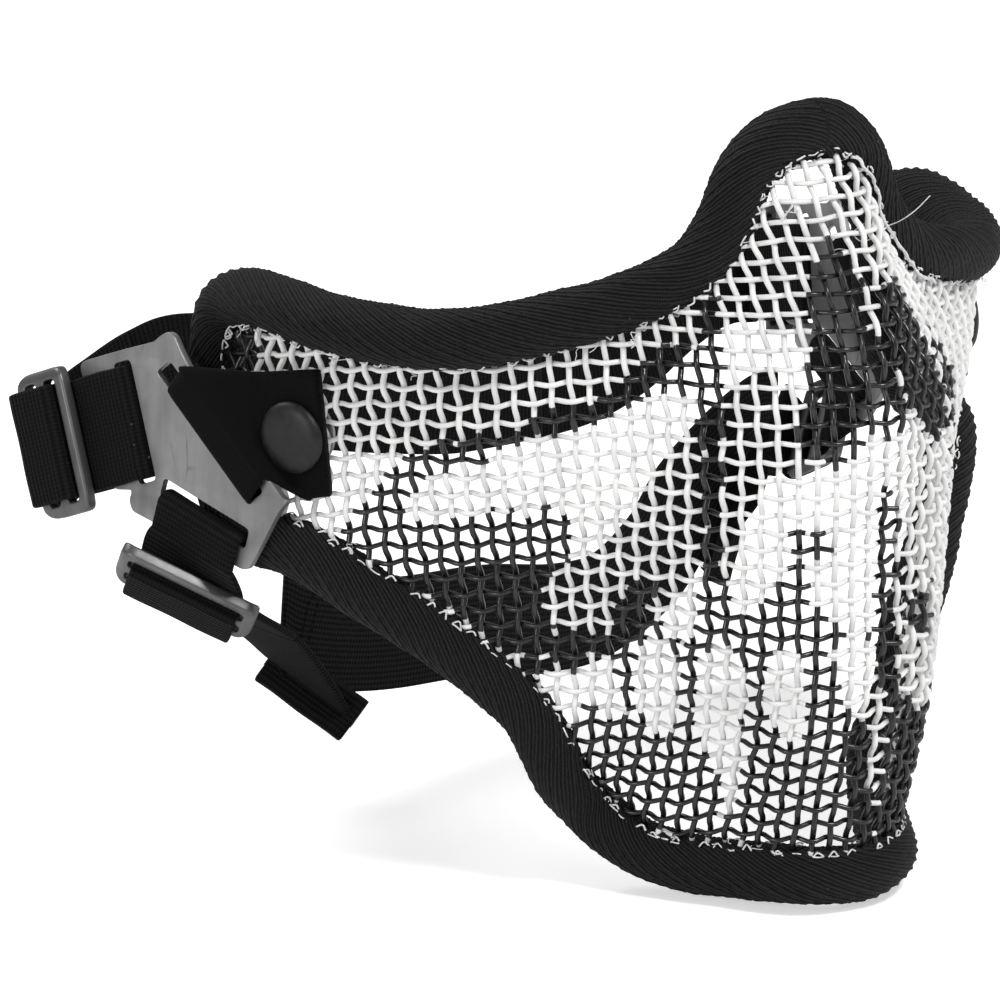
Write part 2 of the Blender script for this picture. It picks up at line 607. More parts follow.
def twill_look():
    """Black ribbed cloth of the padded edge."""
    look = Look("edge_cloth_look")
    unit_scale = 0.95 / 6.2832  # band scale that the two rib counts multiply
    ribs = look.bands(look.uv_coords(-RIB_ANGLE), "Y", Scale=unit_scale * 3.3, Distortion=1.2,
                      Detail=2.0, **{"Detail Scale": 1.6})
    yarns = look.bands(look.uv_coords(-RIB_ANGLE), "X", Scale=unit_scale * 7.0, Distortion=2.0,
                       Detail=2.0)
    coords = look.object_coords()
    fuzz = look.noise(coords, Scale=2600.0, Detail=4.0)
    lint = look.lint(coords, spot_scale=420.0, spot_size=0.10, patch_scale=70.0,
                     patch_at=(0.55, 0.68))
    height = look.weighted_sum(first=ribs, first_share=1.0, second=yarns, second_share=0.35)
    lint_share, lint_colour = 0.35, (0.35, 0.35, 0.34, 1)
    cloth = look.ramp(look.times(height, 0.75), at=(0.25, 0.95),
                      to=((0.0010, 0.0010, 0.0011), (0.022, 0.022, 0.0235)))
    look.set({
        "Base Color": look.mix(look.times(lint, lint_share), cloth, lint_colour),
        "Roughness": 0.60,
        "Specular IOR Level": 0.16,
        "Sheen Weight": 0.02,
        "Sheen Roughness": 0.5,
    })
    look.bump(height, strength=0.9, distance=0.00035)
    look.bump(fuzz, strength=0.35, distance=0.0001)
    return look.material


def webbing_look(name, pitch, dark, light, lint_share, relief=0.8, rib_axis="X", yarn_axis="Y"):
    """Black webbing; ribs are spaced by pitch along rib_axis of the UV map."""
    look = Look(name)
    coords = look.uv_coords()
    pitch_scale = 0.318  # band scale for a pitch of 1 mm
    yarn_pitch = 0.7
    ribs = look.bands(coords, rib_axis, Scale=pitch_scale / pitch, Distortion=0.8, Detail=2.0)
    yarns = look.bands(coords, yarn_axis, Scale=pitch_scale / yarn_pitch, Distortion=1.5,
                       Detail=2.0)
    coords = look.object_coords()
    fuzz = look.noise(coords, Scale=2400.0, Detail=5.0)
    lint = look.lint(coords, spot_scale=330.0, spot_size=0.09, patch_scale=60.0,
                     patch_at=(0.56, 0.7))
    height = look.weighted_sum(first=ribs, first_share=0.8, second=yarns, second_share=0.4)
    lint_colour = (0.4, 0.4, 0.39, 1)
    cloth = look.ramp(look.times(height, 0.8), at=(0.1, 0.95), to=(dark, light))
    look.set({
        "Base Color": look.mix(look.times(lint, lint_share), cloth, lint_colour),
        "Roughness": 0.86,
        "Specular IOR Level": 0.09,
        "Sheen Weight": 0.02,
    })
    look.bump(height, strength=relief, distance=0.0002)
    look.bump(fuzz, strength=0.4, distance=0.00012)
    return look.material


def steel_look(name, shade, roughness, dark_marks=False):
    """Brushed steel, clouded, with thin dark marks where asked."""
    look = Look(name)
    coords = look.object_coords()
    brushed = look.noise(look.object_coords(stretch=(1.0, 1.0, 0.12)), Scale=300.0, Detail=6.0)
    cloud = look.noise(coords, Scale=90.0, Detail=5.0)
    grain = look.noise(coords, Scale=3000.0, Detail=2.0)
    tone = look.weighted_sum(first=brushed, first_share=0.4, second=cloud, second_share=0.6)
    colour = look.ramp(tone, at=(0.32, 0.62), to=(shade * 0.66, shade * 1.2))
    if dark_marks:
        cells = look.cells(look.object_coords(stretch=(1, 1, 0.35)), Scale=110.0,
                           feature="DISTANCE_TO_EDGE")
        lines = look.ramp(cells, at=(0.0, 0.018), to=(1.0, 0.0))
        patches = look.ramp(cloud, at=(0.60, 0.66), to=(0.0, 1.0))
        mark_share, mark_colour = 0.7, (0.05, 0.05, 0.05, 1)
        marks = look.times(look.times(lines, patches), mark_share)
        colour = look.mix(marks, colour, mark_colour)
    look.set({
        "Base Color": colour,
        "Metallic": 0.9,
        "Roughness": look.ramp(tone, at=(0.3, 0.7), to=(roughness + 0.12, roughness - 0.08)),
    })
    look.bump(brushed, strength=0.15, distance=0.0001)
    look.bump(grain, strength=0.2, distance=0.00004)
    return look.material


def snap_black_look():
    look = Look("snap_black_look")
    speckle = look.noise(look.object_coords(), Scale=900.0, Detail=5.0)
    look.set({
        "Base Color": look.ramp(speckle, at=(0.35, 0.7), to=(0.006, 0.013)),
        "Roughness": look.ramp(speckle, at=(0.3, 0.7), to=(0.42, 0.52)),
        "Metallic": 0.3,
    })
    look.bump(speckle, strength=0.15, distance=0.00005)
    return look.material


def thread_look():
    look = Look("thread_look")
    fibres = look.noise(look.object_coords(), Scale=1800.0, Detail=4.0)
    look.set({
        "Base Color": look.ramp(fibres, at=(0.3, 0.7), to=(0.48, 0.86)),
        "Roughness": 0.8,
    })
    look.bump(fibres, strength=0.4, distance=0.00006)
    return look.material


PAINT = paint_look()
TWILL = twill_look()
WEB = webbing_look("webbing_look", pitch=0.9, dark=0.0015, light=0.009, lint_share=0.3)
WEB_GREY = webbing_look("lower_band_look", pitch=1.0, dark=0.002, light=0.014, lint_share=0.35,
                        rib_axis="Y", yarn_axis="X")
TAB = webbing_look("tab_webbing_look", pitch=0.42, dark=0.0015, light=0.0035, lint_share=0.12,
                   relief=0.25)
STEEL = steel_look("hardware_steel_look", shade=0.30, roughness=0.46, dark_marks=True)
SLIDER = steel_look("slider_steel_look", shade=0.15, roughness=0.42)
SNAP_STEEL = steel_look("snap_steel_look", shade=0.45, roughness=0.34)
SNAP_BLACK = snap_black_look()
THREAD = thread_look()


def finish(piece, material, body, slot, *cad):
    """Gives the piece its material, the body it rides, its slot and the CAD it replaces."""
    piece.data.materials.clear()
    piece.data.materials.append(material)
    if body is not None:
        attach(piece, body)
    if cad:
        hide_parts(*cad)


# ------------------------------------------------------------------ woven wire mesh
field = mirrored_loop(FIELD_HALF)
edge_uv = mirrored_loop(EDGE_HALF)
wire_limit = field + (edge_uv - field) * 0.5  # wires end halfway under the roll
UPRIGHT_RADIUS = 0.50
CROSSWIRE_RADIUS = 0.43
CRIMP_HEIGHT = 0.50
CROSSWIRE_OFFSET = 0.6  # v of the crosswires above whole numbers


def camo_value(u, v):
    """0 for black paint, 1 for white, at mesh coordinates."""
    # the left half repeats the pattern mirrored, with a drift of its own
    left = u > 8
    pattern_u = np.where(left, -u + 1.5 * np.sin(v * 0.23), u)
    pattern_v = np.where(left, v + 3.2 + 1.8 * np.sin(u * 0.31), v)
    waver = 0.28 * np.sin(pattern_u * 2.3 + pattern_v * 1.7)
    waver = (waver + 0.2 * np.sin(pattern_u * 3.9 - pattern_v * 2.9)) * 0.6
    paint = np.ones(u.shape)
    for colour, outline in CAMO:
        paint[inside(outline, pattern_u + waver, pattern_v + waver)] = colour
    for outline in PLAIN_PATCHES:
        paint[inside(outline, u, v)] = BLACK
    # two black areas in the strip just left of the middle
    strip = (u > 0.9) & (u <= 8)
    paint[strip & (v < 8.6 + 0.9 * np.sin(u * 1.3))] = BLACK
    paint[strip & (u > 1.6) & (u < 3.8)
          & (v > 12.5 + np.sin(u)) & (v < 15.2 + 0.5 * np.sin(u * 2.0))] = BLACK
    return paint


def crimp(phase):
    """Cosine wave with rather straight flanks, as pressed wire has."""
    wave = np.cos(phase)
    return CRIMP_HEIGHT * (wave * (1.12 - 0.12 * wave * wave))


def add_wire(tubes, u, v, lift, radius):
    """Adds the runs of more than three points that lie within the wire limit."""
    changes = np.flatnonzero(np.diff(np.r_[0, inside(wire_limit, u, v), 0]))
    for start, end in changes.reshape(-1, 2):
        if end - start > 3:
            run_u, run_v = u[start:end], v[start:end]
            rise = surface_normal(run_u, run_v) * lift[start:end, None]
            tubes.add(surface(run_u, run_v) + rise, radius, 8, camo_value(run_u, run_v))


def build_uprights(side, columns, *cad):
    tubes = Tubes()
    v = np.arange(-2.0, 42.01, 0.25)
    for k in columns:
        phase = math.pi * (v - CROSSWIRE_OFFSET) + math.pi * k
        u = k + 0.03 * np.sin(v * 0.9 + k * 1.7) - 0.030 * np.cos(phase)
        add_wire(tubes, u, v, crimp(phase), UPRIGHT_RADIUS)
    finish(tubes.build("mesh_uprights_" + side, "paint"), PAINT, "root", "mesh_paint", *cad)


def build_crosswires():
    tubes = Tubes()
    u = np.arange(-41.0, 41.01, 0.25)
    for k in range(-2, 42):
        phase = math.pi * u + math.pi * k
        v = k + CROSSWIRE_OFFSET + 0.03 * np.sin(u * 0.8 + k * 2.1) + 0.045 * np.cos(phase)
        add_wire(tubes, u, v, -crimp(phase), CROSSWIRE_RADIUS)
    finish(tubes.build("mesh_crosswires", "paint"), PAINT, "root", "mesh_paint")


build_uprights("right", range(-40, 1), "mesh_shell")
build_uprights("left", range(1, 41))
build_crosswires()

# ------------------------------------------------------------------ padded edge
ROLL_RADIUS = 4.9
ROLL_STATIONS = 1500
ROLL_AROUND = 64
RIB_PITCH = 1.6
YARN_PITCH = 2.3
# Unevenness of the roll: waves along its length, turns around it, height, phase.
ROLL_WAVES = ((3, 1, 0.11, 0.3), (7, 2, 0.09, 1.7), (13, 1, 0.08, 4.0),
              (23, 3, 0.07, 2.2), (37, 2, 0.06, 5.1), (61, 1, 0.05, 0.9))


def nearest(points, targets):
    return np.array([np.argmin(((targets - p) ** 2).sum(1)) for p in points])


def smooth_round(values):
    """Moving average along a closed run of numbers."""
    kernel = np.hanning(41)
    kernel /= kernel.sum()
    return np.convolve(np.r_[values[-20:], values, values[:20]], kernel, "valid")


def edge_frame():
    """Length of the roll, its centre line, and directions along, into the mesh and outward."""
    # the top corner on the right is pushed out a little
    u, v = edge_uv[:, 0], edge_uv[:, 1]
    corner = np.exp(-(((np.abs(u) - 40.2) / 1.6) ** 2 + ((v - 32.3) / 1.6) ** 2))
    corner[u > 0] = 0.0
    pushed = edge_uv + corner[:, None] * np.stack([np.sign(u) * 0.8, np.full(len(u), 0.8)], 1)
    edge_points = surface(pushed[:, 0], pushed[:, 1])
    edge_points[0, 0] = 0.0
    centre, length = closed_curve(edge_points, ROLL_STATIONS)
    along = unit(np.roll(centre, -1, 0) - np.roll(centre, 1, 0))
    field_line, _ = closed_curve(surface(field[:, 0], field[:, 1]), ROLL_STATIONS)
    inward = field_line[nearest(centre, field_line)] - centre
    inward = np.stack([smooth_round(inward[:, k]) for k in range(3)], 1)
    inward -= along * (inward * along).sum(1)[:, None]
    inward = unit(inward)
    outward = np.cross(along, inward)
    # turned to the outer side of the mesh everywhere
    mesh_out = surface_normal(field[:, 0], field[:, 1])[nearest(centre, edge_points)]
    outward *= np.sign(smooth_round(np.sign((outward * mesh_out).sum(1))))[:, None]
    return length, centre, along, inward, outward


edge_length, edge_centre, edge_along, edge_inward, edge_outward = edge_frame()


def build_edge_roll():
    run, angle = np.meshgrid(np.linspace(0, edge_length, ROLL_STATIONS, endpoint=False),
                             np.arange(ROLL_AROUND) / ROLL_AROUND * 2 * math.pi, indexing="ij")
    turn = (angle + math.pi) % TURN - math.pi
    around = np.abs(turn) * ROLL_RADIUS
    rib_sin, rib_cos = math.sin(RIB_ANGLE), math.cos(RIB_ANGLE)
    ribs = round(edge_length * rib_sin / RIB_PITCH)
    rib_phase = TURN * (ribs * run / edge_length - around * rib_cos / RIB_PITCH)
    yarn_phase = TURN * (run * rib_cos + around * rib_sin) / YARN_PITCH
    yarn = 0.72 + 0.28 * np.sin(yarn_phase + 0.5 * rib_phase)
    rib = 1 - 2 * np.abs(np.sin(rib_phase / 2)) ** 1.4
    radius = ROLL_RADIUS - 0.20 + 0.25 * yarn * rib
    for waves, turns, height, phase in ROLL_WAVES:
        radius += height * np.sin(run / edge_length * 2 * math.pi * waves + turns * angle + phase)
    # the hem beside the mesh, with its stitch puckers
    hem = np.exp(-(turn / 0.42) ** 2)
    pull = 0.16 * np.sin(run / edge_length * 2 * math.pi * 190 + 0.6 * np.sin(run * 0.2))
    radius += hem * (0.25 + pull)
    spokes = (np.cos(angle)[..., None] * edge_inward[:, None]
              + np.sin(angle)[..., None] * edge_outward[:, None])
    vertices = edge_centre[:, None] + radius[..., None] * spokes
    roll = solid("edge_roll", vertices.reshape(-1, 3),
                 grid_faces(ROLL_STATIONS, ROLL_AROUND, closed=True),
                 np.stack([run.ravel(), around.ravel()], 1))
    finish(roll, TWILL, "root", "edge_cloth", "edge_binding", "edge_foam_core")


STITCH_PITCH = 2.6
# Directions and routes (across, up, out) of the long loose threads at the nose.
THREAD_ACROSS = np.array([0.835, -0.550, -0.020])
THREAD_UP = np.array([0.161, 0.209, 0.965])
THREAD_OUT = np.array([-0.526, -0.809, 0.263])
LOOSE_THREADS = (
    ((0, 0, 0), (2.2, 0.9, 1.0), (4.6, 2.6, 1.2), (6.9, 4.9, 0.9)),
    ((0, 0, 0), (-1.8, -1.6, 1.6), (-4.2, -2.6, 2.0), (-5.6, -1.2, 1.8), (-3.9, 0.3, 1.5)),
    ((0, 0, 0), (-2.6, -3.4, 1.5), (-5.5, -4.1, 1.8), (-8.2, -3.8, 1.4), (-9.9, -5.2, 1.2)),
)
TANGLES = ((-7.9, 34.1), (-13.2, 29.8), (-2.6, 37.0))  # mesh coordinates (u, v)


def add_hem_threads(tubes, station, side):
    """Random threads at one stitch, on the outer (1) or inner (-1) face of the hem."""
    draw = rng.uniform
    centre, along, inward = edge_centre[station], edge_along[station], edge_inward[station]
    out = edge_outward[station] * side
    reach = ROLL_RADIUS + 0.15 + draw(-0.25, 0.35)
    start = (centre + inward * (reach - 0.55) + out * (1.55 + draw(-0.2, 0.2))
             - along * draw(0.5, 1.1))
    middle = centre + inward * (reach + 0.15) + out * (1.0 + draw(-0.1, 0.25))
    end = (centre + inward * (reach - 0.4 + draw(-0.3, 0.5)) + out * (1.45 + draw(-0.2, 0.2))
           + along * draw(0.5, 1.2))
    if rng.random() < (0.5 if side > 0 else 0.35):
        tubes.add(spline([start, middle, end], 5), 0.13 + rng.random() * 0.05)
    if rng.random() < 0.65:
        # a run of thread lying along the hem
        run = draw(0.8, 2.0)
        middle = (centre + inward * (ROLL_RADIUS * 0.93 + draw(-0.1, 0.35))
                  + out * (1.75 + draw(-0.15, 0.25)))
        path = [middle - along * run * 0.5 - out * 0.2,
                middle + inward * draw(-0.15, 0.3),
                middle + along * run * 0.5 - out * 0.2]
        tubes.add(spline(path, 5), draw(0.10, 0.17))
    if rng.random() < 0.14 and side > 0:
        # a loose fibre
        path = [centre + inward * (reach + 0.1) + out * 1.2]
        for _ in range(4):
            path.append(path[-1] + inward * draw(-0.1, 0.8) + out * draw(0.0, 0.45)
                        + along * draw(-0.9, 0.9))
        tubes.add(spline(path, 5), 0.07, 5)


def build_edge_stitches():
    tubes = Tubes()
    count = int(edge_length / STITCH_PITCH)
    for q in range(count):
        station = int(q / count * ROLL_STATIONS)
        add_hem_threads(tubes, station, 1)
        if q % 2 == 0:
            add_hem_threads(tubes, station, -1)

    # heavier ragged thread down the wearer's-left flank of the nose
    flank = [k for k in range(ROLL_STATIONS)
             if 6 < edge_centre[k][0] < 31 and edge_centre[k][2] > 15]
    ragged = []
    for k in flank[::5]:
        ragged.append(edge_centre[k]
                      + edge_inward[k] * (ROLL_RADIUS + 0.35 + rng.uniform(-0.3, 0.5))
                      + edge_outward[k] * (1.3 + rng.uniform(-0.2, 0.4)))
    path = spline(ragged, 5)
    tubes.add(path, 0.30 + 0.08 * smooth_noise(np.arange(len(path)), 3), 7)

    root = ragged[len(ragged) // 2]
    for route in LOOSE_THREADS:
        points = [root + THREAD_ACROSS * across + THREAD_UP * up + THREAD_OUT * out
                  for across, up, out in route]
        tubes.add(spline(points, 8), 0.09)
    for u, v in TANGLES:
        heart = surface(u, v)[0] + surface_normal(u, v)[0] * 1.4
        points = [heart]
        for _ in range(9):
            x, y, z = rng.uniform(-1.6, 1.6), rng.uniform(-1.2, 0.2), rng.uniform(-1.3, 1.3)
            points.append(heart + np.array([x, y, z]))
        tubes.add(spline(points, 6), 0.09)
    finish(tubes.build("edge_stitches", "lint"), THREAD, "root", "thread", "edge_stitching")


build_edge_roll()
build_edge_stitches()

# ------------------------------------------------------------------ side hardware frames
# Each plate's origin and directions: forward along it, up it, and out from the wearer.
SIDES = {
    "right": dict(sign=-1, origin=np.array([-77.045, 20.082, 0.609]),
                  forward=unit([0.25571, -0.96675, 0.0]), up=unit([0.09008, 0.02383, 0.99565]),
                  out=unit([-0.96255, -0.25459, 0.09317])),
    "left": dict(sign=1, origin=np.array([76.759, 45.728, -1.483]),
                 forward=unit([-0.1230, -0.9820, -0.1440]), up=unit([0.0510, -0.1510, 0.9870]),
                 out=unit([0.9910, -0.1150, -0.0690])),
}
PLATE_THICK = 1.3
# Plate outline (forward, up, corner radius).
PLATE_OUTLINE = [
    (-5.6, 12.6, 1.5), (-3.7, 13.7, 1.5), (-2.1, 13.3, 1.5), (0.0, 10.3, 3), (2.4, 7.6, 1.5),
    (23.6, -9.7, 1.2), (25.2, -10.2, 1.2), (23.0, -12.5, 3), (19.6, -18.4, 8),
    (16.4, -23.5, 1.6), (-10.8, -17.8, 1.2), (-11.6, -16.0, 0.8), (-10.9, -14.2, 1.0),
    (-15.5, -14.9, 1.6), (-24.6, 5.5, 1.8), (-15.0, 8.9, 6), (-6.7, 11.6, 2.0),
]
PLATE_SLOTS = (
    [(-16.2, 6.4), (-12.3, 7.8), (-5.3, -11.6), (-9.2, -13.0)],  # upper strap
    [(-3.4, -10.9), (16.7, -16.4), (15.8, -19.8), (-4.3, -14.3)],  # lower strap
    [(-6.0, 6.6), (-2.9, 8.9), (19.6, -9.6), (16.5, -11.9)],  # tab
)
# Bars that webbing turns round: middle, direction along the bar, direction across it.
UPPER_BAR = ((-12.7, -3.3), (0.343, -0.939), (-0.939, -0.343))
LOWER_BAR = ((5.75, -17.05), (0.965, -0.264), (-0.264, -0.965))
TAB_BAR = ((8.35, -0.35), (0.774, -0.633), (0.633, 0.774))
UPPER_REACH = 14.4  # from the upper bar to the middle of its slider
# Sliders: middle, direction of the strap, outer normal, all as (forward, up, out).
SLIDERS = {
    "upper": ((-12.7 - 0.939 * UPPER_REACH, -3.3 - 0.343 * UPPER_REACH, 3.35),
              (-0.939, -0.343, 0.0), (0.0, 0.0, 1.0)),
    "lower": ((1.70, -28.75, -0.10), (-0.6600, -0.5790, -0.4790), (0.1290, -0.7160, 0.6860)),
}


def direction(side, forward, up, out=0.0):
    axes = SIDES[side]
    return axes["forward"] * forward + axes["up"] * up + axes["out"] * out


def at(side, forward, up, out=0.0):
    axes = SIDES[side]
    return axes["origin"] + axes["forward"] * forward + axes["up"] * up + axes["out"] * out


def slider_frame(side, kind):
    """Middle of a slider, with its strap, width and outer directions."""
    middle, travel, normal = SLIDERS[kind]
    x = unit(direction(side, *travel))
    z = direction(side, *normal)
    z = unit(z - x * (z @ x))
    return at(side, *middle), x, np.cross(z, x), z


def bar_frame(side, bar):
    middle, along, across = bar
    return at(side, *middle), unit(direction(side, *across)), unit(direction(side, *along))


def rounded(outline, radii, count):
    """Outline with each corner replaced by a curve of count points."""
    points = []
    n = len(outline)
    for k in range(n):
        before, corner, after = (np.array(outline[(k + q) % n], float) for q in (-1, 0, 1))
        back, on = before - corner, after - corner
        back_length, on_length = np.linalg.norm(back), np.linalg.norm(on)
        cut = min(radii[k], back_length * 0.45, on_length * 0.45)
        start, end = corner + back / back_length * cut, corner + on / on_length * cut
        for t in np.linspace(0, 1, count):
            points.append((1 - t) ** 2 * start + 2 * t * (1 - t) * corner + t * t * end)
    return points


def rounded_hole(outline, radius, count):
    return rounded(outline, [radius] * len(outline), count)[::-1]


def rectangle(left, right, half_height):
    return [(left, -half_height), (right, -half_height), (right, half_height), (left, half_height)]


def flat_part(name, outline, holes, thickness, bevel, place):
    """Sheet part with rounded edges; place moves its points into the mask."""
    curve = bpy.data.curves.new(name, "CURVE")
    curve.dimensions = "2D"
    curve.fill_mode = "BOTH"
    curve.extrude = thickness / 2 - bevel
    curve.bevel_depth = bevel
    curve.bevel_resolution = 3
    curve.offset = -bevel
    for loop in [outline] + holes:
        line = curve.splines.new("POLY")
        line.points.add(len(loop) - 1)
        for point, (x, y) in zip(line.points, loop):
            point.co = (x, y, 0, 1)
        line.use_cyclic_u = True
    drawn = bpy.data.objects.new(name + "_tmp", curve)
    bpy.context.scene.collection.objects.link(drawn)
    bpy.context.view_layer.update()
    graph = bpy.context.evaluated_depsgraph_get()
    mesh = bpy.data.meshes.new_from_object(drawn.evaluated_get(graph))
    bpy.data.objects.remove(drawn)
    points = np.zeros(len(mesh.vertices) * 3)
    mesh.vertices.foreach_get("co", points)
    points = place(points.reshape(-1, 3)) * MM
    mesh.vertices.foreach_set("co", points.astype(np.float32).ravel())
    face_outward(mesh, merge_distance=2e-6)
    mesh.name = name
    piece = link_mesh(name, mesh)
    mesh.set_sharp_from_angle(angle=math.radians(38))
    mesh.update()
    return piece


def build_plate(side):
    axes = SIDES[side]

    def place(points):
        return (axes["origin"] + points[:, :1] * axes["forward"] + points[:, 1:2] * axes["up"]
                + (points[:, 2:3] + PLATE_THICK / 2) * axes["out"])

    outline = rounded([(x, y) for x, y, _ in PLATE_OUTLINE], [r for _, _, r in PLATE_OUTLINE], 6)
    slots = [rounded_hole(slot, 0.9, 4) for slot in PLATE_SLOTS]
    plate = flat_part(side + "_slotted_plate", outline, slots, PLATE_THICK, 0.16, place)
    finish(plate, STEEL, side + "_plate", "hardware_steel", side + "_plate")


SLIDER_HALF = (5.75, 12.5)
SLIDER_THICK = 2.2
WINDOW_HALF = (1.3, 10.4)
WINDOW_OFFSET = 2.35
SLIDER_EXIT = 6.9  # where the strap leaves the slider, from its middle
FOLD_DEPTH = {"upper": -1.6, "lower": -0.6}


def build_slider(side, kind):
    """Three-bar slider, and the webbing that comes up one window and over two bars."""
    origin, x, y, z = slider_frame(side, kind)
    name = side + "_" + kind

    def place(points):
        # the two ends bend back
        bend = 0.9 * np.clip((np.abs(points[:, 1:2]) - 10.2) / 2.3, 0, 1) ** 2
        height = points[:, 2:3] + SLIDER_THICK / 2 - bend
        return origin + points[:, :1] * x + points[:, 1:2] * y + height * z

    half_x, half_y = SLIDER_HALF
    outline = rounded(rectangle(-half_x, half_x, half_y), [2.8] * 4, 8)
    windows = [rounded_hole(rectangle(q - WINDOW_HALF[0], q + WINDOW_HALF[0], WINDOW_HALF[1]),
                            0.8, 5) for q in (-WINDOW_OFFSET, WINDOW_OFFSET)]
    slider = flat_part(name + "_slider_frame", outline, windows, SLIDER_THICK, 0.5, place)
    finish(slider, SLIDER, name + "_slider", "hardware_steel", name + "_slider")

    path = ([(-WINDOW_OFFSET, -0.3), (-WINDOW_OFFSET, 1.9)] + arc_path(-1.45, 2.1, 0.9, 180, 90)
            + [(0.5, 3.02), (3.0, 3.05), (5.6, 2.98)] + arc_path(5.65, 1.65, 1.32, 88, 0, 12)
            + [(6.97, 0.0), (SLIDER_EXIT, FOLD_DEPTH[kind])])
    fold = path_ribbon(name + "_web_fold", origin, x, z, y, path, 9.8, 0.35, wobble=0.08, seed=3)
    finish(fold, WEB, name + "_slider", "webbing", name + "_strap_fold")


# Heights of the webbing's middle above and below the plate, and the turn between them.
LOOP_HIGH = PLATE_THICK + 0.85
LOOP_LOW = -0.85
LOOP_RADIUS = (LOOP_HIGH - LOOP_LOW) / 2
LOOP_MIDDLE = (LOOP_HIGH + LOOP_LOW) / 2
LOOP_HALF_WIDTH = 9.6


def build_upper_loop(side):
    origin, across, wide = bar_frame(side, UPPER_BAR)
    path = ([(17.0, LOOP_LOW), (7.0, LOOP_LOW), (0.3, LOOP_LOW)]
            + arc_path(-1.5, LOOP_MIDDLE, LOOP_RADIUS, 270, 90, 14)
            + [(0.3, LOOP_HIGH), (6.5, LOOP_HIGH + 0.12), (12.0, LOOP_HIGH), (17.0, LOOP_HIGH)])
    loop = path_ribbon(side + "_upper_web_loop", origin, across, SIDES[side]["out"], wide, path,
                       LOOP_HALF_WIDTH, 0.4, wobble=0.1, seed=5)
    finish(loop, WEB, side + "_plate", "webbing", side + "_upper_strap_loop")


def build_lower_loop(side):
    """Webbing round the lower bar, then twisting down to the lower slider."""
    origin, across, wide = bar_frame(side, LOWER_BAR)
    path = ([(3.6, LOOP_LOW), (0.3, LOOP_LOW)]
            + arc_path(0.2, LOOP_MIDDLE, LOOP_RADIUS, 270, 90, 14)
            + [(0.3, LOOP_HIGH), (2.6, LOOP_HIGH), (4.6, LOOP_HIGH)])
    path = resample(path, 0.5)
    centres = [origin + p[0] * across + p[1] * SIDES[side]["out"] for p in path]
    wides = [wide] * len(centres)
    slider, slider_x, slider_y, slider_z = slider_frame(side, "lower")
    end_wide = slider_y if slider_y @ wide > 0 else -slider_y
    start = centres[-1]
    end = slider - WINDOW_OFFSET * slider_x - 0.4 * slider_z
    leave, arrive = across * 3.5, slider_z * 3.2
    # Hermite curve from the plate to the slider's window
    for t in np.linspace(0.08, 1, 14):
        centres.append((2 * t ** 3 - 3 * t ** 2 + 1) * start + (t ** 3 - 2 * t ** 2 + t) * leave
                       + (-2 * t ** 3 + 3 * t ** 2) * end + (t ** 3 - t ** 2) * arrive)
        wides.append(unit(wide * (1 - t) + end_wide * t))
    loop = ribbon(side + "_lower_web_loop", centres, wides, LOOP_HALF_WIDTH, wobble=0.05, seed=6)
    finish(loop, WEB, side + "_plate", "webbing", side + "_lower_strap_loop")


TAB_GAP = 0.85  # from the mesh surface to the tab
TAB_HALF = 0.9  # half thickness where it lies on the mesh
TAB_HALF_AT_BAR = 0.45
TAB_COLUMNS = 21
TAB_STEPS = 6
# Start of the tab over the mesh: u of the low and high edges, then the extra rise of each.
TAB_START = {
    "right": [(30.7, 30.7, 0, 0), (31.2, 32.2, 0, 0), (31.7, 33.8, 0.0, 0.3),
              (32.2, 35.4, 0.4, 1.2)],
    "left": [(30.7, 30.7, 0, 0), (31.8, 31.8, 0, 0), (32.9, 32.9, 0, 0), (34.2, 34.2, 0.3, 0.4)],
}
# Points (x, y, z) of the low and high edges between the mesh and the plate.
TAB_BRIDGE = {
    "right": [],
    "left": [((73.6, 11.0, -9.9), (73.0, 11.0, 10.0)), ((76.9, 19.5, -10.4), (76.4, 22.5, 9.6)),
             ((76.6, 23.0, -10.8), (77.6, 32.0, 8.9))],
}
# The tab's turn round its bar: across the bar, height above mid-plate.
TAB_TURN = [(2.3, 0.95), (1.2, 1.40), (-1.4, 1.50), (-3.1, 1.25), (-3.9, 0.0), (-3.1, -1.25),
            (-1.2, -1.45), (1.2, -1.45), (2.9, -1.1)]
TAB_LOW_END, TAB_HIGH_END = 13.6, -11.0  # the tab's edges, along the bar from its middle


def tab_edges(side):
    """Rows of six numbers: the low edge point and the high edge point."""
    sign = SIDES[side]["sign"]
    lift = TAB_GAP + TAB_HALF
    rows = []
    for u_low, u_high, rise_low, rise_high in TAB_START[side]:
        low = surface(sign * u_low, 21.75)[0]
        low = low + surface_normal(sign * u_low, 21.9)[0] * (lift + rise_low)
        high = surface(sign * u_high, 28.7)[0]
        high = high + surface_normal(sign * u_high, 28.4)[0] * (lift + rise_high)
        rows.append((*low, *high))
    rows += [(*low, *high) for low, high in TAB_BRIDGE[side]]
    (bar_x, bar_y), (along_x, along_y), (across_x, across_y) = TAB_BAR
    for offset, height in TAB_TURN:
        low, high = (at(side, bar_x + along_x * end + across_x * offset,
                        bar_y + along_y * end + across_y * offset, PLATE_THICK / 2 + height)
                     for end in (TAB_LOW_END, TAB_HIGH_END))
        rows.append((*low, *high))
    return spline(rows, TAB_STEPS)


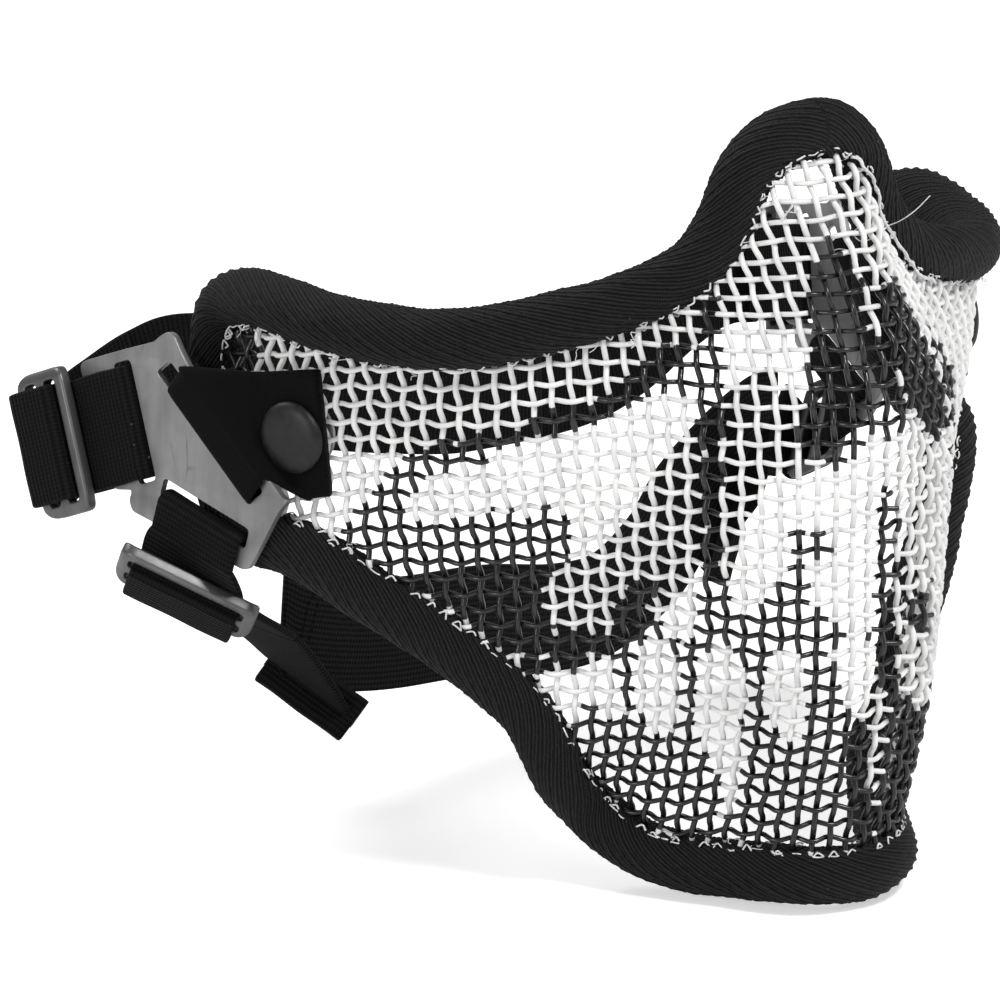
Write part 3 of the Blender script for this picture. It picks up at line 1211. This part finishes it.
def build_tab(side):
    """Wide tab from the snap, round its bar and back beneath."""
    rows = tab_edges(side)
    centres = (rows[:, :3] + rows[:, 3:]) / 2
    wides = rows[:, 3:] - rows[:, :3]
    half_widths = np.linalg.norm(wides, axis=1) / 2
    thin_from = len(rows) - (len(TAB_TURN) - 1) * TAB_STEPS - 1
    half_thick = np.interp(np.arange(len(rows)), [thin_from - 10, thin_from],
                           [TAB_HALF, TAB_HALF_AT_BAR])
    wides = unit(wides)
    normals = unit(np.cross(tangents(centres), wides))
    if normals[0] @ SIDES[side]["out"] < 0:
        normals = -normals
    flat = np.linspace(-1, 1, TAB_COLUMNS)
    level = np.ones(TAB_COLUMNS)
    level[[0, -1]] = 0.82  # thinner at the margins
    across = np.concatenate([flat, [1.03], -flat, [-1.03]])
    height = np.concatenate([level, [0.0], -level, [0.0]])
    vertices = (centres[:, None] + (wides * half_widths[:, None])[:, None] * across[:, None]
                + (normals * half_thick[:, None])[:, None] * height[:, None])
    uv = np.stack([np.repeat(arc_length(centres), len(across)),
                   (across * half_widths[:, None]).ravel()], 1)
    tab = solid(side + "_web_tab", vertices.reshape(-1, 3),
                band_faces(len(rows), TAB_COLUMNS, 1), uv)
    finish(tab, TAB, side + "_tab", "tab_webbing", side + "_tab")


SNAP_UV = (32.5, 25.16)  # mesh coordinates of the snap, on the left
SNAP_SEGMENTS = 72
DOME_TOP = 2.05
# Dome profile below the tip: radius, height.
DOME_RINGS = [(1.6, 2.02), (3.2, 1.90), (4.4, 1.70), (5.2, 1.40), (5.75, 0.98), (6.02, 0.55),
              (6.05, 0.2), (5.9, 0.0)]


def build_snap_dome(side):
    u, v = SIDES[side]["sign"] * SNAP_UV[0], SNAP_UV[1]
    axis = surface_normal(u, v)[0]
    across = unit(np.cross(axis, (0.2, 0.1, 1)))
    other = np.cross(axis, across)
    foot = surface(u, v)[0] + axis * (TAB_GAP + 2 * TAB_HALF + 0.05)
    n = SNAP_SEGMENTS
    vertices, faces = [foot + axis * DOME_TOP], []
    for radius, height in DOME_RINGS:
        for q in range(n):
            angle = q / n * 2 * math.pi
            spoke = across * math.cos(angle) + other * math.sin(angle)
            vertices.append(foot + axis * height + spoke * radius)
    for q in range(n):
        beside = (q + 1) % n
        faces.append((0, 1 + q, 1 + beside))
        for ring in range(len(DOME_RINGS) - 1):
            first = 1 + ring * n
            faces.append((first + q, first + n + q, first + n + beside, first + beside))
    last = 1 + (len(DOME_RINGS) - 1) * n
    faces.append(tuple(range(last, last + n)))
    dome = solid(side + "_snap_dome", vertices, faces)
    finish(dome, SNAP_BLACK, side + "_tab", "snap_black", side + "_snap_cap")


for side in SIDES:
    build_plate(side)
    build_slider(side, "upper")
    build_slider(side, "lower")
    build_upper_loop(side)
    build_lower_loop(side)
    build_tab(side)
    build_snap_dome(side)

# ------------------------------------------------------------------ long straps
# Strap stations: x, y, z of the middle, and the lean of the upright width towards +X.
UPPER_STRAP = [
    (-76.5, 54.0, -6.5, -0.15), (-66.0, 55.0, -2.6, -0.25), (-56.5, 56.0, -1.4, -0.1),
    (-41.0, 58.0, -5.8, 0.35), (-25.3, 60.5, -11.7, 0.30), (-0.7, 64.5, -17.5, 0.12),
    (12.1, 66.5, -19.0, 0.05), (34.5, 70.5, -19.5, -0.05), (48.1, 73.0, -16.6, -0.35),
    (62.0, 76.0, -10.5, -0.35), (72.0, 78.0, -7.6, -0.1),
]
LOWER_STRAP = [
    (-45.3, 44.6, -46.5, 0.1), (-41.5, 45.3, -49.0, 0.3), (-30.0, 47.4, -52.5, 0.25),
    (-18.1, 49.6, -54.7, 0.12), (1.3, 53.3, -56.8, 0.1), (18.5, 56.4, -60.3, 0.15),
    (32.1, 59.0, -60.6, -0.1), (45.6, 61.5, -54.6, -0.55), (55.6, 63.3, -45.0, -0.7),
    (72.2, 66.4, -35.3, -0.2), (79.0, 67.6, -35.0, 0.0),
]
# Pieces of the upper strap: name, bodies it is blended between. The middle rides the root.
UPPER_PIECES = [
    ("right_start", "right_upper_slider", "right_plate"), ("right_end", "right_plate", "right_tab"),
    ("right_run", "right_tab", "root"), ("middle", None, None), ("left_run", "root", "left_tab"),
    ("left_end", "left_tab", "left_plate"), ("left_start", "left_plate", "left_upper_slider"),
]
# Lower strap tails beyond the slider: middle, width direction.
TAILS = {
    "right": [((-67.8, 28.5, -34.8), (0.70, -0.60, -0.38)),
              ((-57.5, 34.5, -42.3), (0.70, -0.60, -0.36)),
              ((-48.0, 39.3, -51.3), (0.64, -0.58, -0.50)),
              ((-42.2, 41.9, -58.0), (0.58, -0.55, -0.60))],
    "left": [((69.5, 58.0, -38.5), (-0.58, -0.52, -0.62)),
             ((66.0, 60.3, -44.5), (-0.56, -0.40, -0.72)),
             ((63.0, 61.5, -50.5), (-0.578, -0.40, -0.71))],
}
TAIL_CUTS = {"right": (20, 38), "left": (28, 40)}
# Hem at each tail's end: middle, direction along it, direction down the tail.
HEMS = {
    "right": (np.array([-41.2, 42.3, -59.2]), unit([0.580, -0.567, -0.584]),
              unit([-0.622, 0.155, -0.768])),
    "left": (np.array([62.3, 61.6, -52.2]), unit([-0.578, -0.400, -0.710]),
             unit([0.60, 0.155, -0.58])),
}


def strap_curve(stations, steps):
    """Smooth middles and width directions through (middle, width) stations."""
    rows = spline([(*middle, *unit(wide)) for middle, wide in stations], steps)
    return rows[:, :3], rows[:, 3:]


def leaning(stations):
    return [((x, y, z), (lean, 0, 1.0)) for x, y, z, lean in stations]


def slider_stations(side, kind, drops):
    """Stations where a strap leaves a slider, at depths beneath it."""
    origin, x, y, z = slider_frame(side, kind)
    up = y if y[2] > 0 else -y
    wide = up if kind == "upper" else -up
    return [(origin + SLIDER_EXIT * x - drop * z, wide) for drop in drops]


def strap_piece(name, curve, start, end, half_width):
    centres, wides = curve
    piece = ribbon(name, centres[start:end + 1], wides[start:end + 1], half_width)
    finish(piece, WEB, None, "webbing")
    return piece


def blend_piece(piece, bodies, first, last, start_inset, end_inset):
    """Blends from body to body, the insets being shares of the span between two points."""
    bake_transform(piece)


def build_upper_strap():
    curve = strap_curve(slider_stations("right", "upper", (1.2, 3.4, 6.0)) + leaning(UPPER_STRAP)
                        + slider_stations("left", "upper", (6.0, 3.4, 1.2)), 10)
    centres = curve[0]
    last = len(centres) - 1
    cuts = [0, 20, 40, 64, last - 64, last - 40, last - 20, last]
    for (name, *bodies), start, end in zip(UPPER_PIECES, cuts, cuts[1:]):
        piece = strap_piece("upper_strap_" + name, curve, start, end, 10.0)
        if name == "middle":
            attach(piece, "root")
            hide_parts("upper_strap")
        else:
            blend_piece(piece, bodies, centres[start], centres[end], 0.14, 0.14)


def build_lower_strap():
    """Lower band, with two seams of short stitches near its right end."""
    centres, wides = strap_curve(leaning(LOWER_STRAP), 14)
    band = ribbon("lower_strap_band", centres, wides, 10.4)
    finish(band, WEB_GREY, "root", "webbing", "lower_strap")
    normals = unit(np.cross(tangents(centres), wides))
    seam = Tubes()
    for column in (4, 7):
        for offset in np.arange(-9.0, 9.0, 1.5):
            i = int(column + 9 + 3 * (offset / 9.0 + 1) * 0.4)
            for face in (-1, 1):
                out = normals[i] * face
                foot = centres[i] + out * 0.68
                seam.add([foot + wides[i] * offset - out * 0.12,
                          foot + wides[i] * (offset + 0.5) + out * 0.04,
                          foot + wides[i] * (offset + 1.0) - out * 0.12], 0.13)
    finish(seam.build("lower_strap_seam", "lint"), WEB, "root", "webbing")


def build_tail(side):
    curve = strap_curve(slider_stations(side, "lower", (0.4, 2.2, 4.0)) + TAILS[side], 10)
    centres = curve[0]
    first_cut, second_cut = TAIL_CUTS[side]
    slider, plate, tab = side + "_lower_slider", side + "_plate", side + "_tab"
    # piece, first and last row, bodies, insets of the blend
    pieces = (
        ("end", 0, first_cut, (slider, plate), 0.2, 0.1),
        ("start", first_cut, second_cut, (plate, tab), 0.15, 0.1),
        ("run", second_cut, len(centres) - 1, (tab, "root"), 0.02, 0.2),
    )
    for name, start, end, bodies, *insets in pieces:
        piece = strap_piece(side + "_lower_tail_" + name, curve, start, end, 9.6)
        blend_piece(piece, bodies, centres[start], centres[end], *insets)
    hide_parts(side + "_lower_strap_tail")


def build_hem(side):
    """The tail's end folded over twice."""
    middle, along, down = HEMS[side]
    down = unit(down - along * (down @ along))
    path = ([(-4.0, 0.9), (0.0, 1.15), (2.6, 1.1)] + arc_path(2.9, 0.0, 1.1, 90, -90)
            + [(1.0, -1.1), (-2.5, -0.9), (-3.4, -0.2), (-2.2, 0.15), (1.5, 0.05)])
    hem = path_ribbon(side + "_tail_hem", middle, down, np.cross(along, down), along, path, 9.4,
                      half_thick=0.72, wobble=0.12, seed=9)
    finish(hem, WEB, "root", "webbing")


build_upper_strap()
build_lower_strap()
for side in SIDES:
    build_tail(side)
    build_hem(side)

# CAD snap parts kept as they are, with a new material
for name in ("right_snap_post", "left_snap_post", "right_snap_washer", "left_snap_washer"):
    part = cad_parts[name]
    part.data.materials.clear()
    part.data.materials.append(SNAP_STEEL)


# ------------------------------------------------------------------ stage (metres)
def build_floor():
    height = min(cad_box[0][2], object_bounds()[0][2]) - 0.0005
    bpy.ops.mesh.primitive_plane_add(size=30, location=(0, 5, height))
    floor = bpy.context.object
    floor.name = "floor"
    look = Look("floor_look")
    seen = look.node("ShaderNodeLightPath").outputs["Is Camera Ray"]
    clouds = look.noise(look.object_coords(), Scale=3.0, Detail=3.0)
    camera_glow = 0.50
    look.set({
        "Base Color": look.ramp(clouds, at=(0.3, 0.7), to=(0.93, 0.95)),
        "Roughness": 0.9,
        "Specular IOR Level": 0.1,
        "Emission Strength": look.times(seen, camera_glow),
        "Emission Color": (1, 1, 1, 1),
    })
    floor.data.materials.append(look.material)


def build_world():
    """White world, brighter to the camera than to the objects."""
    world = bpy.data.worlds.new("studio")
    world.use_nodes = True
    tree = world.node_tree
    background = tree.nodes["Background"]
    background.inputs["Color"].default_value = (1, 1, 1, 1)
    seen = tree.nodes.new("ShaderNodeLightPath")
    level = tree.nodes.new("ShaderNodeMapRange")
    level.inputs["To Min"].default_value = 0.34
    level.inputs["To Max"].default_value = 1.0
    tree.links.new(seen.outputs["Is Camera Ray"], level.inputs["Value"])
    tree.links.new(level.outputs["Result"], background.inputs["Strength"])
    bpy.context.scene.world = world


def area_light(name, location, size, power):
    """Square light aimed at the origin."""
    light = bpy.data.lights.new(name, "AREA")
    light.size = size
    light.energy = power
    lamp = bpy.data.objects.new(name, light)
    lamp.location = location
    lamp.rotation_euler = (-Vector(location)).to_track_quat("-Z", "Y").to_euler()
    bpy.context.scene.collection.objects.link(lamp)


def build_camera():
    lens = bpy.data.cameras.new("camera")
    lens.sensor_width = 36.0
    lens.lens = 180.63108
    lens.clip_start = 0.05
    lens.clip_end = 100.0
    camera = bpy.data.objects.new("camera", lens)
    # columns: right, up and backward directions, then the place
    camera.matrix_world = Matrix((
        (0.835139, 0.160773, -0.526019, -0.473013),
        (-0.549663, 0.208569, -0.808931, -0.683757),
        (-0.020343, 0.964703, 0.262555, 0.204268),
        (0, 0, 0, 1),
    ))
    bpy.context.scene.collection.objects.link(camera)
    bpy.context.scene.camera = camera


build_floor()
build_world()
area_light("key", location=(0.10, -0.75, 0.95), size=0.26, power=9.0)
area_light("side", location=(-1.05, -0.25, 0.35), size=0.35, power=3.5)
area_light("fill", location=(0.9, -0.7, 0.2), size=0.5, power=2.0)
area_light("rim", location=(-0.25, 0.8, 0.8), size=0.4, power=4.0)
build_camera()
bpy.context.scene.view_settings.view_transform = "Standard"
